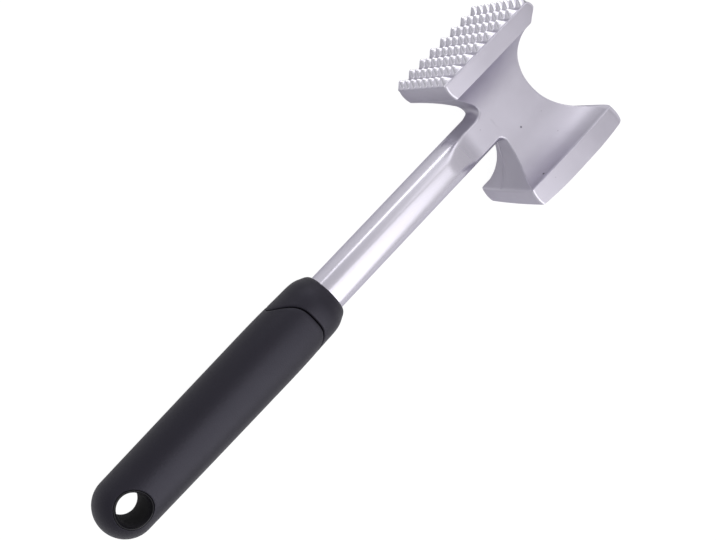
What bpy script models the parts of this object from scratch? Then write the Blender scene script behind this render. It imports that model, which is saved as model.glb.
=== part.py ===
"""Meat mallet: a cast aluminium head and shank in a soft black grip.

Five pieces: the casting (both striking plates, waist, neck, shank and tang), the hard core
moulded on its tang, the front collar, the soft sleeve and the liner of the hanging hole.

The mallet lies on its side. +X runs from the grip to the head, +Y is the toothed side and +Z
is up. Meshes are built round the striking axis, where the handle's axis crosses it, and one
empty carries them so that the origin is the middle of the box, on the surface below.
All sizes are in metres.
"""

import math

import bmesh
import bpy
from mathutils import Matrix, Vector

# Striking head: reaches are taken from the handle's axis
TOOTHED_REACH = 0.0321
FLAT_REACH = 0.0332
FLAT_CROWN = 0.0012
FLAT_LAND = 0.0120
HEAD_WIDTH = 0.0424
SIDE_CROWN = 0.0006
HEAD_LENGTH = 0.0488
END_CROWN = 0.0005
CORNER_RADIUS = 0.0020

# Teeth on the +Y plate, cut into its thickness
TOOTH_COLUMNS = 7
TOOTH_ROWS = 8
TOOTH_HEIGHT = 0.0029
TOOTH_TIP = 0.0010
TOOTH_VALLEY = 0.0012
TOOTH_MARGIN = 0.0002

# Hollows that leave the waist between the two plates: edges are taken from the axis too
TOOTHED_CREASE = 0.0220
FLAT_CREASE = 0.0245
WAIST_THICKNESS = 0.0105
WAIST_FLAT = 0.0070
FAR_TOOTHED_EDGE = 0.0254
FAR_FLAT_EDGE = 0.0238
FAR_FLOOR = 0.0098
NEAR_TOOTHED_EDGE = 0.0227
NEAR_FLAT_EDGE = 0.0250
NEAR_FLOOR = 0.0126
TOOTHED_BOW = 0.0008
FLAT_BOW = 0.0023

# Neck, shank and tang
SHANK_DIAMETER = 0.0158
NECK_FILLET = 0.0020
NECK_ROOT = 0.0060
NECK_FLAT = 0.0035
FLAT_RUNOUT = 0.0040
SHANK_SEAT = 0.0068
TANG_DIAMETER = 0.0110
TANG_EDGE = 0.0010
GROOVE_DEPTH = 0.0010
GROOVE_WIDTH = 0.0045

# Grip
GRIP_FRONT = 0.1052
GRIP_LENGTH = 0.1190
GRIP_DIAMETER = 0.0256
FRONT_DIAMETER = 0.0180
SHOULDER_LENGTH = 0.0090
BUTT_LENGTH = 0.0118
COLLAR_LENGTH = 0.0120
SEAM_DROP = 0.0088
CORE_DIAMETER = 0.0180
CORE_END_WALL = 0.0100

# Hanging hole and its liner
HOLE_DIAMETER = 0.0116
HOLE_FROM_BUTT = 0.0128
LINER_DIAMETER = 0.0146
LINER_RIM = 0.0004
LINER_SINK = 0.0002
BORE_LENGTH = 0.0158
HOLE_WALL = 0.0020

# Fits and cutting overrun
CLEARANCE = 0.0003
OVERRUN = 0.0100

# Counts of facets
SHANK_SIDES = 40
GRIP_SIDES = 48
HOLE_SIDES = 32
HOLLOW_SIDES = 56
SADDLE_STEPS = 14
CROWN_STEPS = 7
FLANK_STEPS = 7
ROUND_STEPS = 4
DOME_STEPS = 8

# Shape shares
DOME_POWER_SHARE = 2.0
SEAM_POWER_SHARE = 4
ROOF_SHARE = 0.5
RUNOUT_RISE_SHARE = 1.3
SADDLE_SWEEP_SHARE = 0.95
# Along the shoulder from the grip's front, and out from the front's radius to the shoulder's
SHOULDER_SHARES = ((0.0, 0.0), (0.13, 0.30), (0.31, 0.54), (0.48, 0.75), (0.64, 0.88), (0.80, 0.955), (1.0, 1.0))
# Along the grip from the shoulder to the butt's rounding, and of the full radius
SWELL_SHARES = ((0.0, 0.966), (0.04, 0.972), (0.18, 1.0), (0.37, 0.995), (0.57, 0.985), (0.77, 0.972), (1.0, 0.955))
GROOVE_SHARES = (0.2, 0.5, 0.8)

# Places that follow from the sizes above
ROOT_Y = TOOTHED_REACH - TOOTH_HEIGHT
HALF_WIDTH = HEAD_WIDTH / 2
HALF_LENGTH = HEAD_LENGTH / 2
HEAD_REACH = HALF_LENGTH + END_CROWN
SIDE_REACH = HALF_WIDTH + SIDE_CROWN
TOOTH_PITCH = (HEAD_WIDTH - 2 * TOOTH_MARGIN + TOOTH_VALLEY) / TOOTH_COLUMNS
SHANK_RADIUS = SHANK_DIAMETER / 2
TANG_RADIUS = TANG_DIAMETER / 2
GRIP_RADIUS = GRIP_DIAMETER / 2
CORE_RADIUS = CORE_DIAMETER / 2
BUTT_X = -(GRIP_FRONT + GRIP_LENGTH)
HOLE_X = BUTT_X + HOLE_FROM_BUTT
HOLE_RADIUS = HOLE_DIAMETER / 2
LINER_RADIUS = LINER_DIAMETER / 2
SEAT_X = -(GRIP_FRONT + SHANK_SEAT)
SLEEVE_FLOOR_X = HOLE_X + LINER_RADIUS + CLEARANCE + HOLE_WALL
CORE_END_X = SLEEVE_FLOOR_X + CLEARANCE
TANG_END_X = CORE_END_X + CORE_END_WALL


def clear_scene():
    """Leaves an empty file behind, so that only the mallet is in it."""
    for thing in list(bpy.data.objects):
        bpy.data.objects.remove(thing, do_unlink=True)


def make_material(name, colour, metallic, roughness):
    """One plain Principled material."""
    material = bpy.data.materials.new(name)
    material.use_nodes = True
    shader = material.node_tree.nodes["Principled BSDF"]
    shader.inputs["Base Color"].default_value = (*colour, 1.0)
    shader.inputs["Metallic"].default_value = metallic
    shader.inputs["Roughness"].default_value = roughness
    return material


def place_mesh(name, shape, frame, material=None, sharp=math.radians(35)):
    """Turns a bmesh into an object on the mallet's frame. Without a material it is a helper."""
    bmesh.ops.recalc_face_normals(shape, faces=shape.faces)
    mesh = bpy.data.meshes.new(name)
    shape.to_mesh(mesh)
    shape.free()
    thing = bpy.data.objects.new(name, mesh)
    bpy.context.collection.objects.link(thing)
    thing.parent = frame
    if material is None:
        thing.hide_render = True
        thing.display_type = "WIRE"
        return thing
    mesh.materials.append(material)
    mesh.shade_smooth()
    mesh.set_sharp_from_angle(angle=sharp)
    return thing


def combine(target, tool, operation):
    """Adds one exact Boolean step to the target."""
    step = target.modifiers.new(tool.name, "BOOLEAN")
    step.operation = operation
    step.solver = "EXACT"
    step.object = tool


def prism(outline, direction, low, high):
    """A closed bar: an outline of (a, b) points, carried along X, Y or Z from low to high."""
    places = {
        "X": lambda a, b, along: Vector((along, a, b)),
        "Y": lambda a, b, along: Vector((a, along, b)),
        "Z": lambda a, b, along: Vector((a, b, along)),
    }
    place = places[direction]
    shape = bmesh.new()
    near = [shape.verts.new(place(a, b, low)) for a, b in outline]
    far = [shape.verts.new(place(a, b, high)) for a, b in outline]
    shape.faces.new(near)
    shape.faces.new(far)
    for index in range(len(outline)):
        after = (index + 1) % len(outline)
        shape.faces.new((near[index], near[after], far[after], far[index]))
    bmesh.ops.recalc_face_normals(shape, faces=shape.faces)
    return shape


def lathe(stations, sides, closed=False):
    """A turned body about a line along X.

    Each station is (place, radius), and both may be functions of the angle from +Z.
    A radius of zero is a pole. A closed lathe joins its last station to its first.
    """
    shape = bmesh.new()
    rings = []
    for place, radius in stations:
        if radius == 0:
            rings.append([shape.verts.new((place, 0, 0))])
            continue
        ring = []
        for step in range(sides):
            angle = 2 * math.pi * step / sides
            along = place(angle) if callable(place) else place
            out = radius(angle) if callable(radius) else radius
            ring.append(shape.verts.new((along, out * math.sin(angle), out * math.cos(angle))))
        rings.append(ring)
    pairs = list(zip(rings, rings[1:]))
    if closed:
        pairs.append((rings[-1], rings[0]))
    for first, second in pairs:
        for step in range(sides):
            after = (step + 1) % sides
            corners = [first[step % len(first)], first[after % len(first)],
                       second[after % len(second)], second[step % len(second)]]
            shape.faces.new(list(dict.fromkeys(corners)))
    return shape


def circle_through(half_chord, depth):
    """Radius of the circle that a chord and the arc's depth fix."""
    return (half_chord ** 2 + depth ** 2) / (2 * depth)


def bowed_line(start, end, bow, steps):
    """Points from start to end, bowed to the left of that direction by the given depth."""
    along = Vector(end) - Vector(start)
    left = Vector((-along.y, along.x)).normalized()
    points = []
    for step in range(steps + 1):
        t = step / steps
        depth = bow * (1 - (2 * t - 1) ** 2)
        points.append(tuple(Vector(start) + along * t + left * depth))
    return points


def quarter_round(start, end, steps):
    """Points of a quarter ellipse that leaves start along the first axis and meets end."""
    points = []
    for step in range(steps + 1):
        angle = math.pi / 2 * step / steps
        a = start[0] + (end[0] - start[0]) * math.sin(angle)
        b = start[1] + (end[1] - start[1]) * (1 - math.cos(angle))
        points.append((a, b))
    return points


# The casting's outer block, with crowned ends and rounded upright corners

def crowned_line(half_run, base, crown):
    """Points of a shallow arch over a run, with a flat middle facet at the arch's full height."""
    full = 1 - 1 / CROWN_STEPS ** 2
    shares = [2 * step / CROWN_STEPS - 1 for step in range(CROWN_STEPS)]
    return [(share * half_run, base + crown * (1 - share ** 2) / full) for share in shares]


def head_block():
    """Both striking plates as one full bar, before the hollows and the teeth are cut."""
    outline = []
    for end in (1, -1):
        outline += [(end * x, end * z) for z, x in crowned_line(HALF_WIDTH, HALF_LENGTH, END_CROWN)]
        outline += [(-end * x, end * z) for x, z in crowned_line(HALF_LENGTH, HALF_WIDTH, SIDE_CROWN)]
    shape = prism(outline, "Y", -FLAT_REACH, TOOTHED_REACH)
    corners = [edge for edge in shape.edges if is_upright_corner(edge)]
    bmesh.ops.bevel(shape, geom=corners, offset=CORNER_RADIUS, segments=ROUND_STEPS,
                    profile=0.5, affect="EDGES")
    return shape


def is_upright_corner(edge):
    """True for the four edges along Y where an end meets a side."""
    first, second = (vertex.co for vertex in edge.verts)
    at_end = abs(abs(first.x) - HALF_LENGTH) < CLEARANCE
    at_side = abs(abs(first.z) - HALF_WIDTH) < CLEARANCE
    return abs(first.y - second.y) > TOOTHED_REACH and at_end and at_side


def flat_face_crown():
    """What is cut from under the flat striking face: it falls away from a land to both ends."""
    run = HEAD_REACH - FLAT_LAND / 2
    half = []
    for step in range(CROWN_STEPS + 1):
        share = step / CROWN_STEPS
        half.append((FLAT_LAND / 2 + run * share, -FLAT_REACH + FLAT_CROWN * share ** 2))
    last, before = Vector(half[-1]), Vector(half[-2])
    half.append(tuple(last + (last - before) * (OVERRUN / (last.x - before.x))))
    far = half[-1][0]
    outline = [(-x, y) for x, y in reversed(half)] + half
    outline += [(far, -FLAT_REACH - OVERRUN), (-far, -FLAT_REACH - OVERRUN)]
    return prism(outline, "Z", -SIDE_REACH - OVERRUN, SIDE_REACH + OVERRUN)


def far_hollow():
    """The round hollow between the plates on the end away from the grip."""
    radius = circle_through((FAR_TOOTHED_EDGE + FAR_FLAT_EDGE) / 2, HALF_LENGTH - FAR_FLOOR)
    centre_x = FAR_FLOOR + radius
    centre_y = (FAR_TOOTHED_EDGE - FAR_FLAT_EDGE) / 2
    outline = []
    for step in range(HOLLOW_SIDES):
        angle = 2 * math.pi * step / HOLLOW_SIDES
        outline.append((centre_x - radius * math.cos(angle), centre_y + radius * math.sin(angle)))
    return prism(outline, "Z", -SIDE_REACH - OVERRUN, SIDE_REACH + OVERRUN)


def near_hollow():
    """What is cut away on the grip's side: two slightly hollow flanks down to the neck."""
    outline = []
    for side, edge, bow in ((1, NEAR_TOOTHED_EDGE, TOOTHED_BOW), (-1, NEAR_FLAT_EDGE, FLAT_BOW)):
        flank = bowed_line((-HALF_LENGTH, edge), (-NEAR_FLOOR, SHANK_RADIUS), bow, FLANK_STEPS)
        run = Vector(flank[0]) - Vector(flank[1])
        past = Vector(flank[0]) + run * ((END_CROWN + CORNER_RADIUS) / -run.x)
        half = [(past.x - OVERRUN, past.y), tuple(past)] + flank
        half = [(x, side * y) for x, y in half]
        outline += half if side > 0 else half[::-1]
    return prism(outline, "Z", -SIDE_REACH - OVERRUN, SIDE_REACH + OVERRUN)


def saddle_outline():
    """The saddle's section: a narrow flat over the waist, and a round up to each crease."""
    middle = (TOOTHED_CREASE - FLAT_CREASE) / 2
    half_chord = (TOOTHED_CREASE + FLAT_CREASE - WAIST_FLAT) / 2
    radius = circle_through(half_chord, HALF_WIDTH - WAIST_THICKNESS / 2)
    sweep = math.pi / 2 * SADDLE_SWEEP_SHARE
    top = SIDE_REACH + OVERRUN
    half = []
    for step in range(SADDLE_STEPS + 1):
        angle = sweep * step / SADDLE_STEPS
        out = WAIST_FLAT / 2 + radius * math.sin(angle)
        half.append((out, WAIST_THICKNESS / 2 + radius * (1 - math.cos(angle))))
    half.append((half[-1][0], top))
    return [(middle - out, up) for out, up in reversed(half)] + [(middle + out, up) for out, up in half]


def saddle_hollow(side):
    """The saddle cut over one side of the waist, which runs on as a flat along the neck."""
    rise = (SHANK_RADIUS - WAIST_THICKNESS / 2) * RUNOUT_RISE_SHARE
    flat_end = -(HEAD_REACH + NECK_FLAT)
    stations = [(HEAD_REACH + OVERRUN, 0)]
    stations += quarter_round((flat_end + FLAT_RUNOUT, 0), (flat_end, rise), ROUND_STEPS)
    outline = saddle_outline()
    lid = SIDE_REACH + OVERRUN
    shape = bmesh.new()
    rings = []
    for x, lift in stations:
        rings.append([shape.verts.new((x, y, side * min(up + lift, lid))) for y, up in outline])
    for first, second in zip(rings, rings[1:]):
        for index in range(len(outline)):
            after = (index + 1) % len(outline)
            shape.faces.new((first[index], first[after], second[after], second[index]))
    shape.faces.new(rings[0])
    shape.faces.new(rings[-1])
    return shape


def comb(count, reach):
    """Outline of the cutter between one set of teeth: (across, up from the roots) points."""
    slope = (TOOTH_PITCH - TOOTH_VALLEY - TOOTH_TIP) / 2 / TOOTH_HEIGHT
    roof = TOOTH_HEIGHT + ROOF_SHARE * TOOTH_TIP / 2 / slope
    inset = slope * roof
    start = -(count * TOOTH_PITCH - TOOTH_VALLEY) / 2
    foot = TOOTH_PITCH - TOOTH_VALLEY
    points = [(-reach, 0.0)]
    for index in range(count):
        left = start + index * TOOTH_PITCH
        points += [(left, 0.0), (left + inset, roof), (left + foot - inset, roof), (left + foot, 0.0)]
    points += [(reach, 0.0), (reach, roof + OVERRUN), (-reach, roof + OVERRUN)]
    return points


def comb_along_x():
    """Cuts the valleys that run along the handle, between the columns of teeth."""
    reach = SIDE_REACH + OVERRUN
    outline = [(ROOT_Y + up, across) for across, up in comb(TOOTH_COLUMNS, reach)]
    return prism(outline, "X", -HEAD_REACH - OVERRUN, HEAD_REACH + OVERRUN)


def comb_along_z():
    """Cuts the valleys that run across the handle, between the rows of teeth."""
    reach = HEAD_REACH + OVERRUN
    outline = [(across, ROOT_Y + up) for across, up in comb(TOOTH_ROWS, reach)]
    return prism(outline, "Z", -SIDE_REACH - OVERRUN, SIDE_REACH + OVERRUN)


def tang_stations(radius, groove_floor):
    """The tang's side, from the seat to its end, with the grooves that hold the core."""
    stations = []
    length = SEAT_X - TANG_END_X
    for share in GROOVE_SHARES:
        middle = SEAT_X - share * length
        front = middle + GROOVE_WIDTH / 2
        back = middle - GROOVE_WIDTH / 2
        stations += [(front, radius), (front - GROOVE_DEPTH, groove_floor),
                     (back + GROOVE_DEPTH, groove_floor), (back, radius)]
    return stations


def shank_blank():
    """Neck flare, round shank and grooved tang, turned about the handle's axis."""
    flare_start = (-NEAR_FLOOR - NECK_FILLET, SHANK_RADIUS)
    flare_end = (-NEAR_FLOOR, SHANK_RADIUS + NECK_FILLET)
    flare = quarter_round(flare_start, flare_end, ROUND_STEPS)
    stations = [(-NEAR_FLOOR + NECK_ROOT, 0)] + flare[::-1]
    stations += [(SEAT_X, SHANK_RADIUS), (SEAT_X, TANG_RADIUS)]
    stations += tang_stations(TANG_RADIUS, TANG_RADIUS - GROOVE_DEPTH)
    stations += [(TANG_END_X + TANG_EDGE, TANG_RADIUS), (TANG_END_X, TANG_RADIUS - TANG_EDGE), (TANG_END_X, 0)]
    return lathe(stations, SHANK_SIDES)


def cast_head(frame, material):
    """The one aluminium casting."""
    head = place_mesh("cast_head", head_block(), frame, material)
    cuts = [("flat_crown_cutter", flat_face_crown()), ("far_hollow_cutter", far_hollow()),
            ("near_hollow_cutter", near_hollow())]
    for name, shape in cuts:
        combine(head, place_mesh(name, shape, frame), "DIFFERENCE")
    combine(head, place_mesh("shank_blank", shank_blank(), frame), "UNION")
    cuts = [("upper_saddle_cutter", saddle_hollow(1)), ("lower_saddle_cutter", saddle_hollow(-1)),
            ("column_comb_cutter", comb_along_x()), ("row_comb_cutter", comb_along_z())]
    for name, shape in cuts:
        combine(head, place_mesh(name, shape, frame), "DIFFERENCE")
    return head


# The grip

def seam_at(angle):
    """Where the collar meets the sleeve: a tongue on the top and bottom, set back at the sides."""
    crest = -(GRIP_FRONT + COLLAR_LENGTH)
    return crest - SEAM_DROP * abs(math.sin(angle)) ** SEAM_POWER_SHARE


def dome_stations():
    """The rounded butt, from its pole to where the long side starts."""
    stations = [(BUTT_X, 0)]
    for step in range(1, DOME_STEPS):
        angle = math.pi / 2 * step / DOME_STEPS
        radius_share = math.sin(angle) ** (2 / DOME_POWER_SHARE)
        depth_share = math.cos(angle) ** (2 / DOME_POWER_SHARE)
        x = BUTT_X + BUTT_LENGTH * (1 - depth_share)
        stations.append((x, SWELL_SHARES[-1][1] * GRIP_RADIUS * radius_share))
    return stations


def side_stations():
    """The long side, from the butt's rounding to the shoulder: full near the front, slimmer behind."""
    shoulder_end = -(GRIP_FRONT + SHOULDER_LENGTH)
    length = shoulder_end - (BUTT_X + BUTT_LENGTH)
    return [(shoulder_end - along * length, share * GRIP_RADIUS) for along, share in reversed(SWELL_SHARES)]


def shoulder_stations():
    """The front shoulder, from where it leaves the long side to the grip's front face."""
    front_radius = FRONT_DIAMETER / 2
    rise = SWELL_SHARES[0][1] * GRIP_RADIUS - front_radius
    return [(-GRIP_FRONT - SHOULDER_LENGTH * along, front_radius + rise * out)
            for along, out in reversed(SHOULDER_SHARES[:-1])]


def outer_radius(x):
    """The grip's outer radius at a place along it."""
    stations = dome_stations() + side_stations() + shoulder_stations()
    for (first_x, first_radius), (second_x, second_radius) in zip(stations, stations[1:]):
        if x <= second_x:
            t = (x - first_x) / (second_x - first_x)
            return first_radius + (second_radius - first_radius) * t
    return stations[-1][1]


def front_collar(frame, material):
    """The hard ring at the grip's front, which closes on the shank and the core's nose."""
    shaft_bore = SHANK_RADIUS + CLEARANCE
    core_bore = CORE_RADIUS + CLEARANCE

    def rear(angle):
        return seam_at(angle) + CLEARANCE / 2

    def rear_radius(angle):
        return outer_radius(rear(angle))

    stations = [(rear, rear_radius), side_stations()[-1]] + shoulder_stations()
    stations += [(-GRIP_FRONT, shaft_bore), (SEAT_X, shaft_bore), (SEAT_X, core_bore), (rear, core_bore)]
    return place_mesh("front_collar", lathe(stations, GRIP_SIDES, closed=True), frame, material)


def grip_core(frame, material):
    """The hard tube moulded on the tang, with ribs that fill the tang's grooves."""
    nose = SEAT_X - CLEARANCE
    bore = TANG_RADIUS + CLEARANCE
    stations = [(CORE_END_X, 0), (CORE_END_X, CORE_RADIUS), (nose, CORE_RADIUS), (nose, bore)]
    stations += tang_stations(bore, bore - GROOVE_DEPTH)
    stations += [(TANG_END_X - CLEARANCE, bore), (TANG_END_X - CLEARANCE, 0)]
    return place_mesh("grip_core", lathe(stations, SHANK_SIDES), frame, material)


def grip_sleeve(frame, material):
    """The soft sleeve, closed and rounded at the butt and bored across for the hole's liner."""
    bore = CORE_RADIUS + CLEARANCE

    def front(angle):
        return seam_at(angle) - CLEARANCE / 2

    def front_radius(angle):
        return outer_radius(front(angle))

    behind_seam = -(GRIP_FRONT + COLLAR_LENGTH + SEAM_DROP + CLEARANCE)
    side = [station for station in side_stations() if station[0] < behind_seam]
    stations = dome_stations() + side + [(front, front_radius), (front, bore)]
    stations += [(SLEEVE_FLOOR_X, bore), (SLEEVE_FLOOR_X, 0)]
    sleeve = place_mesh("grip_sleeve", lathe(stations, GRIP_SIDES), frame, material)
    hole = lathe([(-GRIP_RADIUS - OVERRUN, 0), (-GRIP_RADIUS - OVERRUN, LINER_RADIUS + CLEARANCE),
                  (GRIP_RADIUS + OVERRUN, LINER_RADIUS + CLEARANCE), (GRIP_RADIUS + OVERRUN, 0)], HOLE_SIDES)
    bmesh.ops.rotate(hole, verts=hole.verts, cent=(0, 0, 0), matrix=Matrix.Rotation(math.pi / 2, 3, "Y"))
    bmesh.ops.translate(hole, verts=hole.verts, vec=(HOLE_X, 0, 0))
    combine(sleeve, place_mesh("liner_hole_cutter", hole, frame), "DIFFERENCE")
    return sleeve


def hole_liner(frame, material):
    """The hard eyelet in the hanging hole. Its ends follow the grip and are countersunk."""
    shape = bmesh.new()
    rings = []
    for radius, follows_grip, side in ((LINER_RADIUS, True, 1), (LINER_RADIUS - LINER_RIM, True, 1),
                                       (HOLE_RADIUS, False, 1), (HOLE_RADIUS, False, -1),
                                       (LINER_RADIUS - LINER_RIM, True, -1), (LINER_RADIUS, True, -1)):
        ring = []
        for step in range(HOLE_SIDES):
            angle = 2 * math.pi * step / HOLE_SIDES
            x = HOLE_X + radius * math.cos(angle)
            y = radius * math.sin(angle)
            height = BORE_LENGTH / 2
            if follows_grip:
                height = math.sqrt((outer_radius(x) - LINER_SINK) ** 2 - y ** 2)
            ring.append(shape.verts.new((x, y, side * height)))
        rings.append(ring)
    for first, second in zip(rings, rings[1:] + rings[:1]):
        for step in range(HOLE_SIDES):
            after = (step + 1) % HOLE_SIDES
            shape.faces.new((first[step], first[after], second[after], second[step]))
    return place_mesh("hole_liner", shape, frame, material)


def build_mallet():
    """Makes the five pieces on one frame."""
    clear_scene()
    frame = bpy.data.objects.new("mallet_frame", None)
    bpy.context.collection.objects.link(frame)
    frame.location = (-(BUTT_X + HEAD_REACH) / 2, (FLAT_REACH - TOOTHED_REACH) / 2, SIDE_REACH)
    aluminium = make_material("cast_aluminium", (0.52, 0.51, 0.57), 1.0, 0.38)
    hard_black = make_material("hard_black_polypropylene", (0.022, 0.021, 0.026), 0.0, 0.42)
    soft_black = make_material("soft_black_elastomer", (0.030, 0.028, 0.036), 0.0, 0.60)
    core_grey = make_material("core_polypropylene", (0.045, 0.045, 0.050), 0.0, 0.50)
    liner_black = make_material("liner_polypropylene", (0.018, 0.017, 0.022), 0.0, 0.35)
    cast_head(frame, aluminium)
    grip_core(frame, core_grey)
    front_collar(frame, hard_black)
    grip_sleeve(frame, soft_black)
    hole_liner(frame, liner_black)


build_mallet()
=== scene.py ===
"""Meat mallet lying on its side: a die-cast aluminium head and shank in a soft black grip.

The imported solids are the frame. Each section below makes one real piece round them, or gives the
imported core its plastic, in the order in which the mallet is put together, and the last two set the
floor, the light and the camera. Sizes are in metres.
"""

import math

import bmesh
import bpy
from mathutils import Matrix, Vector


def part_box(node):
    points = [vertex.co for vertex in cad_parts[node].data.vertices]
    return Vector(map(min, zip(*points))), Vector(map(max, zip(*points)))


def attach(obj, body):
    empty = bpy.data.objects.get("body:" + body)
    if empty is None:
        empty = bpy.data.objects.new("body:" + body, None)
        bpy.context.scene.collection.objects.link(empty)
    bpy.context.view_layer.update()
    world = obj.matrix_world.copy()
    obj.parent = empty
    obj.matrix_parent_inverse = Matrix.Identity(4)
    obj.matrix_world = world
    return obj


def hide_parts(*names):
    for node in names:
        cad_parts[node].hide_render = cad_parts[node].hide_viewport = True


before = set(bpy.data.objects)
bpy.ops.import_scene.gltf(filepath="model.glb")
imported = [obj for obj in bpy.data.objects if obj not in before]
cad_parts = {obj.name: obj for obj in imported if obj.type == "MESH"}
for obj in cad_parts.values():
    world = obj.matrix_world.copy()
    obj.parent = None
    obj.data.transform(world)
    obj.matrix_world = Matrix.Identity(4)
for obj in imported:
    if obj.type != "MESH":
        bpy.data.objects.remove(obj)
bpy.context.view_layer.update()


# The casting. Head, neck, shank and tang are one aluminium die casting. Both plates and the
# waist come out of the die with softly broken edges, and the shank is polished afterwards.

toothed_reach = 0.0321
flat_reach = 0.0332
flat_crown = 0.0012
flat_land = 0.0120
half_width = 0.0212
side_crown = 0.0006
half_length = 0.0244
end_crown = 0.0005
corner_radius = 0.0009
far_corner_radius = 0.0028
far_rim_radius = 0.0016
edge_radius = 0.0006
toothed_nose = 0.0262
flat_nose = 0.0290
nose_fall = 0.0006
far_nose_fall = 0.0013
face_rounding = 0.0006
toothed_rounding = 0.0006
face_cap_inset = 0.00084
crown_from = 0.0272
tooth_height = 0.0029
root_y = toothed_reach - tooth_height

waist_half = 0.00525
waist_flat = 0.0070
toothed_crease = 0.0220
flat_crease = 0.0245
far_toothed_edge = 0.0254
far_flat_edge = 0.0242
far_floor = 0.0098
near_toothed_edge = 0.0227
near_flat_edge = 0.0250
near_floor = 0.0126
toothed_bow = 0.0008
flat_bow = 0.0023
crease_blend = 0.0009
mouth_blend = 0.0007
far_mouth_blend = 0.0014

shank_radius = 0.0079
neck_corner_y = 0.0057
neck_meet_share = 1.4
toothed_fillet = 0.0042
flat_fillet = 0.0011
neck_end = 0.0172
runout_start = 0.0225
runout_ease = 0.0080
runout_slope = 0.35
runout_blend = 0.0018
runout_first_blend = 0.0003
runout_wear_and_highlight = 0.0004
runout_rise = shank_radius - waist_half + runout_blend
runout_end = runout_start + runout_ease / 2 + runout_rise / runout_slope
shaft_start = 0.0182
seat_x = -0.1120
tang_radius = 0.0055
tang_end_x = -0.1912
tang_groove = 0.0010
tang_groove_width = 0.0045
tang_groove_shares = (0.2, 0.5, 0.8)
parting_z = -0.0038
parting_half_width = 0.0003
parting_height = 0.00020
die_step = 0.00022
die_step_run = 0.0004
bead_share_limit = 0.07
parting_share_limit = -0.6
far_rim_fade = 0.0027

# How finely the casting is divided. Rows lie closest where the surface turns.
sides_along = 28
support = 0.00025
sides_up = 16
corner_steps = 6
neck_steps = 9
face_steps = 5
toothed_face_steps = 4
flank_steps = 80
flank_overrun = 20
full_round = 0.9995
flat_crease_from, flat_crease_to = -0.0256, -0.0232
toothed_crease_from, toothed_crease_to = 0.0214, 0.0230
far_edge_from, far_edge_to = 0.0250, 0.0258
sharp_edge = math.radians(50)

# Where the handle's axis crosses the striking axis
head_low, head_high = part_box("cast_head")
crossing = Vector((
    head_high.x - half_length - end_crown,
    head_high.y - toothed_reach,
    (head_low.z + head_high.z) / 2,
))


def run(start, stop, count):
    """Evenly spaced places from start up to, but not including, stop."""
    return [start + (stop - start) * step / count for step in range(count)]


def soft_min(first, second, blend):
    """The lower of two values, rounded off where they cross."""
    overlap = max(blend - abs(first - second), 0.0) / blend
    return min(first, second) - overlap * overlap * blend / 4


def nearness(first, second, reach):
    """1 where two values cross, down to 0 where they are a reach apart."""
    return max(1.0 - abs(first - second) / reach, 0.0)


def circle_through(half_chord, depth):
    """Radius of the circle that a chord and the arc's depth fix."""
    return (half_chord ** 2 + depth ** 2) / (2 * depth)


saddle_middle = (toothed_crease - flat_crease) / 2
saddle_chord = toothed_crease + flat_crease - waist_flat
saddle_radius = circle_through(saddle_chord / 2, half_width - waist_half)
mouth_radius = circle_through((far_toothed_edge + far_flat_edge) / 2, half_length - far_floor)
mouth_x = far_floor + mouth_radius
mouth_y = (far_toothed_edge - far_flat_edge) / 2


def saddle_height(y):
    """Half thickness left by the saddle: a narrow flat, and a round up to each plate."""
    out = min(max(abs(y - saddle_middle) - waist_flat / 2, 0.0), saddle_radius * full_round)
    return waist_half + saddle_radius - math.sqrt(saddle_radius ** 2 - out ** 2)


def mouth_reach(y):
    """How far the metal goes before the round mouth at the far end."""
    off = abs(y - mouth_y)
    if off >= mouth_radius:
        return 1.0
    return mouth_x - math.sqrt(mouth_radius ** 2 - off ** 2)


def flank_points(edge, bow):
    """The hollow flank from a plate's near edge down to the neck, as (reach, distance) pairs."""
    start, end = Vector((half_length, edge)), Vector((near_floor, shank_radius))
    along = end - start
    into = Vector((along.y, -along.x)).normalized()
    if into.x > 0:
        into = -into
    return [start + along * t + into * bow * 4 * t * (1 - t)
            for t in (step / flank_steps for step in range(-flank_overrun, flank_steps + 1))]


flanks = {
    1: flank_points(near_toothed_edge, toothed_bow),
    -1: flank_points(near_flat_edge, flat_bow),
}


def flank_reach(y):
    """How far the metal goes towards the grip before the flank, or before the neck's root."""
    off = abs(y)
    if off <= shank_radius:
        return near_floor
    line = flanks[1 if y > 0 else -1]
    for first, second in zip(line, line[1:]):
        if second.y <= off <= first.y:
            t = (first.y - off) / (first.y - second.y)
            return first.x + (second.x - first.x) * t
    return 1.0


def uprights(half):
    """Shares up an upright side, from the bottom, with the parting line as the middle one."""
    bead = min(parting_half_width / half, bead_share_limit)
    middle = max(parting_z / half, parting_share_limit)
    steps = sides_up // 2 - 1
    low = [-1 + step * (middle - bead + 1) / steps for step in range(steps + 1)]
    high = [middle + bead + step * (1 - middle - bead) / steps for step in range(steps + 1)]
    return low + [middle] + high


def eased(value, low, high):
    """0 below a range and 1 above it, with a soft ramp between."""
    share = min(max((value - low) / (high - low), 0.0), 1.0)
    return share * share * (3 - 2 * share)


def end_fall(y, side):
    """How far a plate's end falls away from its nose, towards its face and towards the hollow."""
    nose, face, edge = flat_nose, flat_reach, far_flat_edge
    if y > 0:
        nose, face, edge = toothed_nose, root_y, near_toothed_edge
    off = abs(y) - nose
    depth = far_nose_fall if side > 0 and y > 0 and off > 0 else nose_fall
    return depth * min(abs(off) / (face - nose if off > 0 else nose - edge), 1.0) ** 2


def far_rim(y):
    """The far edge's radius: broad on the toothed side and the plates, tight over the waist."""
    if y > 0:
        share = eased(y, waist_flat, toothed_crease - waist_flat)
        return edge_radius + (far_rim_radius - edge_radius) * share
    share = eased(-y, flat_crease - far_rim_fade, flat_crease)
    return edge_radius + (far_corner_radius - edge_radius) * share


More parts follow.
